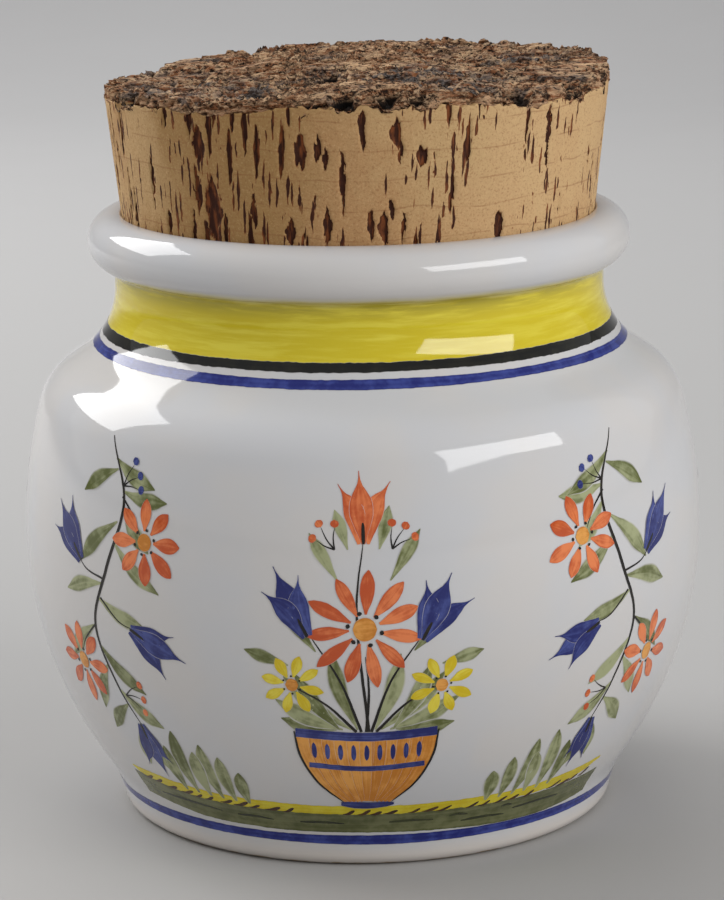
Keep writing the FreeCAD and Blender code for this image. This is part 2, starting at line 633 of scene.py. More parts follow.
class Palette(Enum):
    """The colours that the jar is painted with."""

    ORANGE = Pigment("orange_red", paint(186, 78, 34), paint(226, 128, 76), 5.0, 0.50, 0.30, 0.06)
    BLUE = Pigment("cobalt", paint(26, 34, 100), paint(70, 82, 146), 5.0, 0.32, 0.22, 0.06)
    OLIVE = Pigment("olive", paint(88, 94, 46), paint(160, 164, 124), 3.5, 0.55, 0.20, 0.24)
    OCHRE = Pigment("ochre", paint(190, 118, 34), paint(224, 158, 76), 6.0, 0.55, 0.35, 0.06)
    YELLOW = Pigment("yellow", paint(204, 178, 22), paint(222, 206, 70), 5.0, 0.45, 0.30, 0.06)
    GREEN_GROUND = Pigment("green_ground", paint(76, 80, 40), paint(112, 114, 76), 6.0, 0.45, 0.10)
    YELLOW_GROUND = Pigment("yellow_ground", paint(200, 178, 12), paint(216, 202, 50), 5.0, 0.4, 0.15)
    SHADE = Pigment("green_shade", paint(40, 44, 18), paint(62, 66, 32), 3.0, 0.3, 0.1)
    TICK = Pigment("brown_tick", paint(58, 30, 6), paint(92, 62, 14), 3.0, 0.3, 0.1)
    LINER = Pigment("dark_liner", paint(10, 8, 5), paint(40, 34, 26), 3.0, 0.15, 0.10)
    BLACK_BAND = Pigment("black_band", paint(8, 8, 4), paint(34, 33, 22), 5.0, 0.2, 0.10, 0.08)
    BLUE_BAND = Pigment("blue_band", paint(20, 30, 108), paint(60, 74, 150), 4.0, 0.3, 0.20, 0.08)


# the largest pores in the stopper's side, in millimetres: distance round the side from the front's
# middle, height, half the width and half the height
GREAT_PORES: tuple[Oval, ...] = (
    (-32.0, 143.0, 1.3, 3.4), (-29.8, 130.0, 1.7, 6.5), (-33.2, 133.6, 0.8, 4.8), (-20.6, 130.2, 0.8, 3.2),
    (-13.2, 126.5, 0.7, 2.8), (-10.6, 142.2, 1.0, 3.4), (-7.4, 143.0, 0.6, 2.6), (-5.9, 141.0, 0.5, 2.2),
    (-2.8, 136.2, 0.6, 6.0), (-6.1, 127.8, 0.7, 3.8), (1.0, 146.2, 0.6, 3.8), (7.3, 145.6, 0.9, 3.0),
    (8.0, 142.4, 0.4, 2.6), (12.1, 141.0, 1.0, 2.0), (2.4, 127.8, 0.5, 3.0), (4.8, 127.2, 0.7, 3.2),
    (6.4, 130.8, 0.6, 1.9), (8.6, 127.0, 0.4, 3.0), (29.0, 126.2, 1.0, 2.6), (40.6, 142.4, 0.6, 6.2),
)
CORK_RADIUS = 49.0  # the radius at which the patterns of the stopper's side are read
# the small pores' two sizes: cells in a millimetre, softness of the edge, widest reach, and shift
PORE_SIZES: tuple[Oval, ...] = ((0.52, 0.10, 0.42, 0.0), (1.05, 0.14, 0.50, 31.0))


def pores(graph: Graph, place: Value) -> tuple[Value, Value]:
    """The cork's dark upright pores: pointed at both ends, and gathered in places.

    Args:
        graph: The tree that asks.
        place: The place in millimetres.

    Returns:
        How far inside a pore the place is, from 0 to 1, and the same for the deep pores alone.
    """
    x, y, z = graph.parts(graph.polar(graph.round_axis(place), CORK_RADIUS, graph.parts(place)[2]))
    tall = graph.joined(x, y, z * 0.35)
    shake = graph.drift(tall, 0.9, 2.0) * (0.9, 0.9, 0.5)
    # the pores follow the taper, and lean a little to one side
    upright = graph.joined(
        graph.maths("MULTIPLY_ADD", z, -0.05, x), graph.maths("MULTIPLY_ADD", z, 0.03, y), z * 0.11
    )
    gathered = graph.noise(graph.joined(x + 23.0, y, z * 0.5), 0.06)
    # more of them open near the bark, near the lower face and at the left
    more = graph.ramp(z, 143.0, 150.0, 0.0, 0.18) + graph.ramp(z, 131.0, 125.0, 0.0, 0.14)
    more = more + graph.ramp(x, -12.0, -44.0, 0.0, 0.26)
    masks = []
    for scale, soft, wide, shift in PORE_SIZES:
        inputs = {"Vector": upright + shake + (shift, shift, shift), "Scale": scale, "Exponent": 1.25}
        cells = graph.add("ShaderNodeTexVoronoi", inputs, feature="F1", distance="MINKOWSKI")
        luck = graph.parts(Value(graph, cells.outputs["Color"]))[0]
        luck = luck + more + graph.ramp(gathered, 0.36, 0.60, -0.32, 0.44)
        reach = graph.ramp(luck, 0.22, 1.15, 0.0, wide)
        masks.append(graph.ramp(reach - Value(graph, cells.outputs["Distance"]), 0.0, soft))
    # the largest pores have places of their own
    front = graph.maths("ARCTAN2", x, y * -1.0)
    sway = (graph.noise(tall, 0.75, 3.0, 0.6) - 0.5) * 2.6
    unrolled = graph.joined(graph.maths("MULTIPLY_ADD", front, CORK_RADIUS, sway), z, 0.0)
    great = graph.highest(0.0, *(graph.oval(unrolled, shape, pointed=True) for shape in GREAT_PORES))
    deep = graph.highest(masks[0], great)
    return graph.highest(deep, masks[1]), deep


@dataclass(frozen=True)
class CorkFace:
    """The stopper's turned side: pale cork with upright dark pores and faint growth lines."""

    pale: Colour = paint(188, 154, 108)
    warm: Colour = paint(174, 132, 88)
    # painted shade for the left of the front
    painted_shade: Colour = paint(158, 122, 74)
    # pale grain flecks, and also painted light on the right of the front
    light: Colour = paint(212, 178, 132)
    line: Colour = paint(142, 96, 60)
    pore: Colour = paint(56, 24, 10)
    pore_edge: Colour = paint(128, 70, 34)
    season: float = 5.7  # height from one growth line to the next

    def growth_lines(self, s: Surface) -> Value:
        """Faint level lines in the cork, a season's growth apart.

        Args:
            s: The material's nodes.

        Returns:
            From 0 between the lines to 1 on one.
        """
        sway = s.ramp(s.noise(s.place, 0.035, 3.0), 0.3, 0.7, -0.9, 0.9)
        turns = (s.parts(s.place)[2] + sway) / self.season
        return s.ramp(s.maths("PINGPONG", turns, 0.5), 0.045, 0.0)

    def material(self) -> bpy.types.Material:
        """Builds the material.

        Returns:
            The material.
        """
        s = Surface("cut_cork")
        cloud = s.noise(s.place * (1.0, 1.0, 0.6), 0.055, 3.0, 0.6)
        grain = s.noise(s.place, 2.2, 3.0, 0.65)
        # painted shade darkens the left of the front, and painted light brightens its right
        side = s.parts(s.place)[0] + s.ramp(cloud, 0.3, 0.7, -7.0, 7.0)
        worn = s.ramp(s.noise(s.place, 0.25), 0.36, 0.60, 0.08, 0.5)
        mask, depth = pores(s, s.place)
        fibre = s.noise(s.place * (1.0, 1.0, 0.15), 1.3)
        colour = s.coated(
            self.pale,
            (s.ramp(cloud, 0.38, 0.64, 0.0, 0.8), self.warm),
            (s.ramp(side, 4.0, -18.0) * s.ramp(side, -48.0, -38.0, 0.15, 0.9), self.painted_shade),
            (s.ramp(side, 8.0, 34.0, 0.0, 0.45), self.light),
            (s.ramp(grain, 0.52, 0.68, 0.0, 0.5), self.line),
            (s.ramp(grain, 0.46, 0.30, 0.0, 0.3), self.light),
            (self.growth_lines(s) * worn, self.line),
            (s.ramp(mask, 0.0, 0.35), s.mixed(0.45, self.pore_edge, self.line)),
            (s.ramp(mask, 0.25, 0.6), s.mixed(s.ramp(fibre, 0.44, 0.72), self.pore, self.pore_edge)),
        )
        relief = grain * 0.35 - depth
        return s.finish(relief, 0.35, Base_Color=colour, Roughness=0.72, Specular_IOR_Level=0.25)


@dataclass(frozen=True)
class BarkFace:
    """The stopper's top: the tree's outer bark, in broken plates, brown, grey and rust."""

    tan: Colour = paint(214, 178, 140)
    brown: Colour = paint(114, 85, 62)
    rust: Colour = paint(150, 94, 58)
    grey: Colour = paint(100, 94, 92)
    dark: Colour = paint(44, 30, 21)
    pit: Colour = paint(16, 11, 8)
    painted_hollow_shade: Colour = paint(38, 25, 17)
    pink: Colour = paint(208, 168, 132)
    # places on the top: the middle's x and y, and half the width along x and along y
    grey_plates: tuple[Oval, ...] = (
        (-29.0, -22.0, 15.0, 15.0), (16.0, -24.0, 16.0, 18.0), (33.0, 14.0, 8.0, 12.0),
    )
    pale_chip: Oval = (4.0, -7.0, 6.0, 6.0)
    hollows: tuple[Oval, ...] = (
        (-5.5, -18.0, 2.6, 9.0), (6.0, -48.0, 4.0, 3.5), (12.5, -46.0, 2.4, 6.0), (-2.0, -49.0, 2.0, 2.4),
        (31.0, -36.0, 3.5, 4.0), (-43.0, -20.0, 4.0, 4.0), (41.0, -26.0, 3.0, 3.0), (30.0, 6.0, 7.0, 3.0),
    )

    def material(self) -> bpy.types.Material:
        """Builds the material.

        Returns:
            The material.
        """
        s = Surface("bark")
        x, y, z = s.parts(s.place)
        grain = s.joined(x * 0.35, y, z * 1.6)
        crumb = s.noise(s.place * (0.6, 1.0, 1.4), 1.25, 4.0, 0.75)
        strand = s.noise(grain, 0.55, 4.0, 0.7)
        hollow = s.noise(s.place * (0.7, 1.0, 1.3), 0.42, 3.0, 0.6)
        shake = s.joined(s.ramp(hollow, 0.3, 0.7, -1.0, 1.0), s.ramp(strand, 0.3, 0.7, -1.0, 1.0), 0.0)
        shaken = s.place + shake * 4.0
        greyed = s.ramp(s.noise(grain, 0.10, 3.0, 0.6), 0.50, 0.60, 0.0, 0.7)
        greyed = s.highest(greyed, *(s.oval(shaken, plate) for plate in self.grey_plates))
        rusty = s.noise(grain + (50.0, 20.0, 0.0), 0.12, 3.0, 0.6)
        few = 0.8 - greyed * 0.55
        # where a plate has broken off, the inner layers show
        inner = s.mixed(s.ramp(strand, 0.42, 0.58), self.rust, self.tan)
        colour = s.coated(
            self.brown,
            (greyed, self.grey),
            (s.ramp(rusty, 0.57, 0.68, 0.0, 0.5), self.rust),
            (s.oval(shaken, self.pale_chip), self.tan),
            (s.ramp(strand, 0.53, 0.66) * few, self.tan),
            (s.ramp(strand, 0.49, 0.38, 0.0, 0.95), self.dark),
            # painted shade: dark where the bark's lumps sink lowest
            (s.ramp(hollow, 0.48, 0.38, 0.0, 0.9), self.dark),
            (s.kept("broken") * 0.8, inner),
            (s.ramp(crumb, 0.55, 0.65) * few, self.tan),
            (s.ramp(crumb, 0.50, 0.42, 0.0, 0.95), self.dark),
            (s.ramp(crumb, 0.42, 0.36), self.pit),
            # painted shade: the bark's deepest places are darkened to black
            (s.ramp(s.kept("depth"), 1.7, 2.8), self.pit),
        )
        # the layers show at the rim, in tan, pink and rust
        layer = s.joined(x * 0.12, y * 0.12, z * 1.3) + s.joined(crumb, crumb, crumb) * 0.5
        seam = s.noise(layer, 0.9, 3.0, 0.6)
        edge = s.coated(
            self.rust,
            (s.ramp(seam, 0.42, 0.58), self.pink),
            (s.ramp(seam, 0.43, 0.36, 0.0, 0.8), self.dark),
            (s.ramp(crumb, 0.52, 0.62, 0.0, 0.8), self.tan),
            (s.ramp(crumb, 0.45, 0.37, 0.0, 0.75), self.dark),
            # painted shade: dark in the hollows of the rim's lumps
            (s.ramp(hollow, 0.42, 0.35, 0.0, 0.8), self.dark),
        )
        # painted shade: the hollows and cracks are darkened
        sunk = s.highest(0.0, *(s.oval(shaken, shape) for shape in self.hollows))
        colour = s.coated(
            colour,
            (s.kept("rim") * 0.85, edge),
            (sunk * s.ramp(crumb, 0.62, 0.46, 0.0, 0.9), self.painted_hollow_shade),
        )
        return s.finish(crumb, 0.7, Base_Color=colour, Roughness=0.88, Specular_IOR_Level=0.2)


@dataclass(frozen=True)
class StudioPaper:
    """The pale grey sheet under and behind the jar."""

    near: Colour = paint(170, 168, 166)
    tone: Colour = paint(170, 169, 168)
    far: Colour = paint(184, 183, 183)

    def material(self) -> bpy.types.Material:
        """Builds the material.

        Returns:
            The material.
        """
        s = Surface("studio_paper")
        back = s.parts(s.place)[1]
        # painted light: the paper grows lighter from 0.2 m to 1.3 m behind the jar
        colour = s.coated(
            self.near,
            (s.ramp(back, -150.0, 150.0), self.tone),
            (s.ramp(back, 200.0, 1300.0), self.far),
            (s.ramp(s.noise(s.place, 0.02), 0.3, 0.7, 0.0, 0.05), self.near),
        )
        return s.finish(Base_Color=colour, Roughness=0.8, Specular_IOR_Level=0.1)


# ---------------------------------------------------------------- turned outlines


@dataclass
class Outline:
    """The outline of a turned shape, in millimetres, drawn in runs that each leave where the last ended."""

    radius: float
    level: float
    heading: float = 0.0
    places: list[Place] = field(default_factory=list)

    def __post_init__(self) -> None:
        """Marks the start."""
        self.places.append((self.radius, self.level))

    def line_to(self, radius: float, level: float, steps: int = 1) -> "Outline":
        """Runs straight to a place.

        Args:
            radius: The place's distance from the axis.
            level: The place's height.
            steps: How many parts the run has.

        Returns:
            The outline.
        """
        start = self.radius, self.level
        for i in range(1, steps + 1):
            share = i / steps
            self.places.append(
                (start[0] + (radius - start[0]) * share, start[1] + (level - start[1]) * share)
            )
        self.radius, self.level = radius, level
        return self

    def straight(self, length: float, steps: int = 1) -> "Outline":
        """Runs straight ahead."""
        end = self.radius + length * cosine(self.heading), self.level + length * sine(self.heading)
        return self.line_to(*end, steps)

    def bend(self, curve: float, heading: float, turn: float = 3.0) -> "Outline":
        """Runs along an arc until a heading is reached.

        Args:
            curve: The arc's radius.
            heading: The direction at the end, in degrees, 0 outwards and 90 up.
            turn: How much each part of the run may turn, in degrees.

        Returns:
            The outline.
        """
        side = math.copysign(1.0, heading - self.heading)
        middle = (
            self.radius - sine(self.heading) * side * curve,
            self.level + cosine(self.heading) * side * curve,
        )
        steps = max(1, math.ceil(abs(heading - self.heading) / turn))
        for i in range(1, steps + 1):
            angle = self.heading + (heading - self.heading) * i / steps
            self.radius = middle[0] + sine(angle) * side * curve
            self.level = middle[1] - cosine(angle) * side * curve
            self.places.append((self.radius, self.level))
        self.heading = heading
        return self

    def mesh(self, name: str) -> bpy.types.Mesh:
        """Makes the outline's places, in order, the points of a mesh.

        Args:
            name: The mesh's name.

        Returns:
            The mesh, in metres.
        """
        mesh = bpy.data.meshes.new(name)
        mesh.from_pydata([(r * MM, 0.0, z * MM) for r, z in self.places], [], [])
        return mesh


def turned_shape() -> Shape:
    """Makes a tree that turns an outline, given as points in order, round the upright axis.

    Returns:
        The tree.
    """
    g = Shape("turned_outline", Segments="Int", Material="Material")
    outline = g.given("Geometry")
    count = g.read("GeometryNodeAttributeDomainSize", {0: outline}, "Point Count")
    net, around, row = g.turned_net(g.given("Segments"), count)
    inputs = {"Geometry": outline, "Value": g.position, "Index": row}
    radius, _, level = g.parts(g.read("GeometryNodeSampleIndex", inputs, data_type="FLOAT_VECTOR"))
    g.end(net, g.polar(around, radius, level))
    return g


# ---------------------------------------------------------------- the jar


@dataclass
class JarWall:
    """The glazed jar: belly, shoulder, neck, rolled lip and foot ring, turned in one piece."""

    lower_belly_curve: float = 82.0
    flare_lean: float = 35.0
    flare_curve: float = 22.3
    foot_lean: float = 10.5
    foot_edge_curve: float = 3.0
    foot_ring_width: float = 6.5
    foot_recess: float = 1.2
    upper_belly_curve: float = 105.0
    shoulder_lean: float = 15.0
    shoulder_curve: float = 13.4
    slope_lean: float = 56.0
    slope_length: float = 4.2
    neck_curve: float = 16.6
    neck_to_lip: float = 9.4
    lip_curve: float = 5.6
    lip_reach: float = 5.4
    lip_fillet: float = 2.0
    neck_wall: float = 1.7
    clearance: float = 0.15
    taper: float = 0.11
    paint: float = 0.16  # room left for the painting's thickness
    segments: int = 288

    @property
    def belly_radius(self) -> float:
        """Radius of the widest circle, from the solid."""
        low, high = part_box(JAR_NODE)
        return (high.y - low.y) / 2 / MM - self.paint

    @property
    def belly_level(self) -> float:
        """Height of the widest circle.

        Returns:
            The height in millimetres.
        """
        return (
            self.lower_belly_curve * sine(self.flare_lean)
            + self.flare_curve * (sine(self.flare_lean) - sine(self.foot_lean))
            + self.foot_edge_curve * (1 - sine(self.foot_lean))
        )

    def below_belly(self) -> Outline:
        """Draws the outline from the widest circle down to the axis.

        Returns:
            The outline.
        """
        outline = Outline(self.belly_radius, self.belly_level, -90)
        outline.bend(self.lower_belly_curve, -90 - self.flare_lean, 1.2)
        outline.bend(self.flare_curve, -90 - self.foot_lean, 3)
        outline.bend(self.foot_edge_curve, -180, 11)
        outline.straight(self.foot_ring_width, 4)
        outline.line_to(outline.radius - self.foot_recess, self.foot_recess)
        return outline.line_to(0, self.foot_recess, 8)

    def above_belly(self) -> Outline:
        """Draws the outline from the widest circle up over the lip, and down the seat to the axis.

        Returns:
            The outline.
        """
        outline = Outline(self.belly_radius, self.belly_level, 90)
        outline.bend(self.upper_belly_curve, 90 + self.shoulder_lean, 0.9)
        outline.bend(self.shoulder_curve, 90 + self.slope_lean, 2.6)
        outline.straight(self.slope_length, 3)
        outline.bend(self.neck_curve, 90, 2.6)
        neck = outline.radius
        middle = neck + self.lip_reach - self.lip_curve
        fillet_out = neck + self.lip_fillet - middle
        fillet_down = math.sqrt((self.lip_curve + self.lip_fillet) ** 2 - fillet_out**2)
        outline.straight(self.neck_to_lip - fillet_down, 3)
        outline.bend(self.lip_fillet, 90 - math.degrees(math.atan2(fillet_down, fillet_out)), 8)
        outline.bend(self.lip_curve, 180, 5)
        seat = neck + self.paint - self.neck_wall
        outline.bend(self.lip_curve, 180 + math.degrees(math.asin((middle - seat) / self.lip_curve)), 5)
        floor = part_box(STOPPER_NODE)[0].z / MM - self.clearance
        outline.line_to(outline.radius + self.taper * (floor - outline.level), floor, 4)
        return outline.line_to(0, floor, 3)

    def build(self, turned: Shape) -> bpy.types.Object:
        """Makes the wall.

        Args:
            turned: The tree that turns an outline.

        Returns:
            The piece.
        """
        outline = self.below_belly()
        outline.places = outline.places[::-1] + self.above_belly().places[1:]
        blank = outline.mesh("jar_outline")
        glaze = WhiteGlaze().material()
        piece = grown_piece("glazed_wall", turned, blank, Segments=self.segments, Material=glaze)
        return fitted(piece, GLAZE_SLOT, JAR_NODE)


# ---------------------------------------------------------------- the painting


@dataclass
class Stroke:
    """One brush stroke on the unrolled wall: its line, and half its width along it, in millimetres."""

    places: list[Place]
    half_widths: list[float]


class Brush(Enum):
    """How a stroke's width runs from where the brush lands to where it lifts."""

    PETAL = (0.16, 0.32, 0.53, 0.73, 0.89, 0.98, 1.0, 0.95, 0.80, 0.52, 0.08)
    LEAF = (0.10, 0.26, 0.46, 0.68, 0.87, 0.99, 1.0, 0.80, 0.42, 0.06)
    FLAME = (0.14, 0.34, 0.58, 0.80, 0.96, 1.0, 0.90, 0.62, 0.26, 0.07, 0.03)
    DAB = (0.06, 0.60, 0.80, 0.92, 0.98, 1.0, 0.98, 0.92, 0.80, 0.60, 0.06)
    LINE = (0.55, 0.85, 1.0, 1.0, 0.98, 0.94, 0.86, 0.72, 0.30)
    REED = (0.95, 1.0, 0.98, 0.92, 0.82, 0.70, 0.58, 0.50, 0.42)
    BAND = (1.0, 1.0, 1.0, 1.0, 1.0, 1.0, 1.0, 1.0, 1.0)
    TENDRIL = (1.0, 0.95, 0.88, 0.80, 0.72, 0.62, 0.50, 0.38, 0.14)
    VINE = (0.25, 0.70, 0.92, 1.0, 0.95, 0.86, 0.72, 0.55, 0.2)
    COMMA = (0.12, 0.26, 0.42, 0.60, 0.80, 0.96, 1.0, 0.86, 0.40)


@dataclass(frozen=True)
class Layer:
    """How the strokes of one colour lie on the jar, all in one piece. Sizes are in millimetres."""

    name: str
    pigment: Palette
    lift: float  # how far above the wall it lies
    shake: float  # how far the strokes' edges tremble
    step: float = 0.7  # length of the strokes' faces
    across: int = 5  # points across a stroke


LAYERS = (
    Layer("neck_blue_line", Palette.BLUE_BAND, 0.03, 0.25),
    Layer("neck_black_line", Palette.BLACK_BAND, 0.03, 0.45),
    Layer("foot_blue_line", Palette.BLUE_BAND, 0.03, 0.25),
    Layer("ground_green", Palette.GREEN_GROUND, 0.015, 0.4, 0.7, 9),
    Layer("ground_yellow", Palette.YELLOW_GROUND, 0.028, 0.5, 0.5),
    Layer("ground_streaks", Palette.SHADE, 0.032, 0.25, 0.5),
    Layer("leaves", Palette.OLIVE, 0.042, 0.25, 0.5),
    Layer("stems", Palette.LINER, 0.056, 0.15, 0.4),
    Layer("yellow_strokes", Palette.YELLOW, 0.070, 0.22, 0.3),
    Layer("ochre_strokes", Palette.OCHRE, 0.098, 0.22, 0.3),
    Layer("blue_strokes", Palette.BLUE, 0.113, 0.22, 0.25),
    Layer("orange_strokes", Palette.ORANGE, 0.084, 0.22, 0.25),
    Layer("ground_ticks", Palette.TICK, 0.044, 0.2, 0.35),
    Layer("dark_lines", Palette.LINER, 0.130, 0.12, 0.2),
)
# strokes that follow each other in a layer take turns at this many heights, so far apart in
# millimetres, and crossing strokes don't share a face
HEIGHT_TURNS = 7.0
HEIGHT_STEP = 0.0019


def stroke_shape() -> Shape:
    """Makes a tree that lays strokes, planned as lines on the unrolled wall, round the jar.

    Returns:
        The tree.
    """
    g = Shape(
        "brush_strokes", Strokes="Object", Wall="Object", WheelRadius="Float", Step="Float",
        Lift="Float", Shake="Float", Across="Int", Material="Material",
    )
    number = g.read("GeometryNodeInputIndex")
    lines = g.held(g.geometry_of("Strokes"), STROKE_NUMBER, number, domain="CURVE")
    smooth = g.read("GeometryNodeCurveSplineType", {"Curve": lines}, spline_type="CATMULL_ROM")
    inputs = {"Curve": smooth, "Length": g.given("Step")}
    fine = g.read("GeometryNodeResampleCurve", inputs, mode="LENGTH")
    upright = g.read("GeometryNodeSetCurveNormal", {"Curve": fine}, mode="Z_UP")
    share = g.read("GeometryNodeSplineParameter", None, "Factor")
    edge = g.read("GeometryNodeCurvePrimitiveLine", {"Start": (-1.0, 0.0, 0.0), "End": (1.0, 0.0, 0.0)})
    inputs = {"Curve": edge, "Count": g.given("Across")}
    ladder = g.read("GeometryNodeResampleCurve", inputs, mode="COUNT")
    inputs = {
        "Curve": g.held(upright, "along", share),
        "Profile Curve": g.held(ladder, "across", share),
        "Scale": g.read("GeometryNodeInputRadius"),
    }
    ribbon = g.read("GeometryNodeCurveToMesh", inputs)
    across, along, number = (
        g.read("GeometryNodeInputNamedAttribute", {"Name": name}, data_type="FLOAT")
        for name in ("across", "along", STROKE_NUMBER)
    )
    ribbon = g.held(ribbon, STROKE_MAP, g.joined(across, along, 0.0), "FLOAT2", "CORNER")
    # the strokes' edges tremble a little
    shake = g.drift(g.position * (1 / MM), 0.55, 2.0) * g.given("Shake")
    sideways, up, _ = g.parts(g.position + shake)
    angle = sideways / g.given("WheelRadius")
    out = g.joined(g.maths("SINE", angle), g.maths("COSINE", angle) * -1.0, 0.0)
    place, normal = g.found(g.geometry_of("Wall"), g.polar(out, CLEAR, up), out * -1.0)
    lift = g.given("Lift") + g.maths("FLOORED_MODULO", number, HEIGHT_TURNS) * (HEIGHT_STEP * MM)
    g.end(ribbon, place + normal * lift)
    return g


@dataclass
class Painter:
    """Collects the strokes of each layer, and lays them on the jar."""

    wheel_radius: float
    layers: dict[str, list[Stroke]] = field(default_factory=dict)
    fineness: int = 25  # points along a planned stroke
    thinnest: float = 0.02  # the least share of its full width that a stroke runs out to

    def keep(self, layer: str, places: list[Place], half_widths: list[float]) -> None:
        """Keeps a stroke as it is planned."""
        self.layers.setdefault(layer, []).append(Stroke(places, half_widths))

    def stroke(self, layer: str, line: Iterable[Place], width: float, brush: Brush = Brush.LEAF) -> None:
        """Draws a stroke.

        Args:
            layer: The name of the piece that the stroke is part of.
            line: Its line on the unrolled wall.
            width: Its widest width.
            brush: How its width runs.
        """
        profile = spaced(list(enumerate(brush.value)), self.fineness)
        half_widths = [width / 2 * max(share, self.thinnest) for _, share in profile]
        self.keep(layer, spaced(list(line), self.fineness), half_widths)

    def lines(self, layer: str) -> bpy.types.Object:
        """Makes one curve object, on the unrolled wall, of a layer's strokes.

        Args:
            layer: The layer's name.

        Returns:
            The object.
        """
        curve = bpy.data.curves.new(f"{layer}_lines", "CURVE")
        curve.dimensions = "3D"
        for stroke in self.layers[layer]:
            spline = curve.splines.new("POLY")
            spline.points.add(len(stroke.places) - 1)
            for point, (x, z), half in zip(spline.points, stroke.places, stroke.half_widths):
                point.co = (x * MM, z * MM, 0.0, 1.0)
                point.radius = half * MM
        return shown(f"{layer}_lines", curve)

    def lay(self, layer: Layer, wall: bpy.types.Object, shape: Shape) -> bpy.types.Object:
        """Lays one layer's strokes on the jar.

        Args:
            layer: The layer.
            wall: The piece that it lies on.
            shape: The tree that lays strokes.

        Returns:
            The piece.
        """
        lines = self.lines(layer.name)
        piece = grown_piece(
            layer.name, shape, Strokes=lines, Wall=wall, WheelRadius=self.wheel_radius * MM,
            Step=layer.step * MM, Lift=layer.lift * MM, Shake=layer.shake * MM, Across=layer.across,
            Material=layer.pigment.value.material(),
        )
        bpy.data.objects.remove(lines)
        return fitted(piece, GLAZE_SLOT)


def between(before: float, start: float, end: float, after: float, share: float) -> float:
    """A smooth curve's value between two of the values that it runs through.

    Args:
        before: The value ahead of the first of the two.
        start: The first of the two.
        end: The second of the two.
        after: The value behind the second of the two.
        share: From 0 at the first to 1 at the second.

    Returns:
        The value.
    """
    square = 2 * before - 5 * start + 4 * end - after
    cube = 3 * start - before - 3 * end + after
    return 0.5 * (2 * start + (end - before) * share + square * share**2 + cube * share**3)


def spaced(line: list[Place], count: int) -> list[Place]:
    """Places at even shares of a smooth line through a few points.

    Args:
        line: The points.
        count: How many places to return.

    Returns:
        The places.
    """
    if len(line) == 2:
        line = [line[0], ((line[0][0] + line[1][0]) / 2, (line[0][1] + line[1][1]) / 2), line[1]]
    before = tuple(2 * a - b for a, b in zip(line[0], line[1]))
    after = tuple(2 * a - b for a, b in zip(line[-1], line[-2]))
    knots = [before, *line, after]
    places = []
    for i in range(count):
        share = i / (count - 1) * (len(line) - 1)
        span = min(int(share), len(line) - 2)
        places.append(tuple(between(*near, share - span) for near in zip(*knots[span : span + 4])))
    return places


@dataclass
class Rings:
    """The plain lines painted round the jar on the wheel."""

    neck_blue: Place = (98.2, 1.65)  # level of the middle, and width
    neck_black: Place = (100.9, 1.9)
    foot_blue: Place = (6.2, 2.1)
    parts: int = 72  # straight parts in a ring

    def ring(self, painter: Painter, layer: str, size: Place, seed: int) -> None:
        """Draws a line all the way round, not quite level or even.

        Args:
            painter: Who collects the strokes.
            layer: The piece's name.
            size: Height of the line's middle, and its width.
            seed: Seed of its unevenness.
        """
        luck = random.Random(seed)
        phases = [luck.uniform(0, 360) for _ in range(4)]
        half = math.pi * painter.wheel_radius
        level, width = size
        places, half_widths = [], []
        for i in range(self.parts + 1):
            turn = 360 * i / self.parts
            rise = 0.10 * sine(turn + phases[0]) + 0.05 * sine(3 * turn + phases[1])
            swell = 1 + 0.07 * sine(2 * turn + phases[2]) + 0.05 * sine(7 * turn + phases[3])
            places.append((half * (turn / 180 - 1), level + rise))
            half_widths.append(width / 2 * swell)
        painter.keep(layer, places, half_widths)

    def draw(self, painter: Painter) -> None:
        """Draws the rings.

        Args:
            painter: Who collects the strokes.
        """
        self.ring(painter, "neck_blue_line", self.neck_blue, 3)
        self.ring(painter, "neck_black_line", self.neck_black, 5)
        self.ring(painter, "foot_blue_line", self.foot_blue, 8)


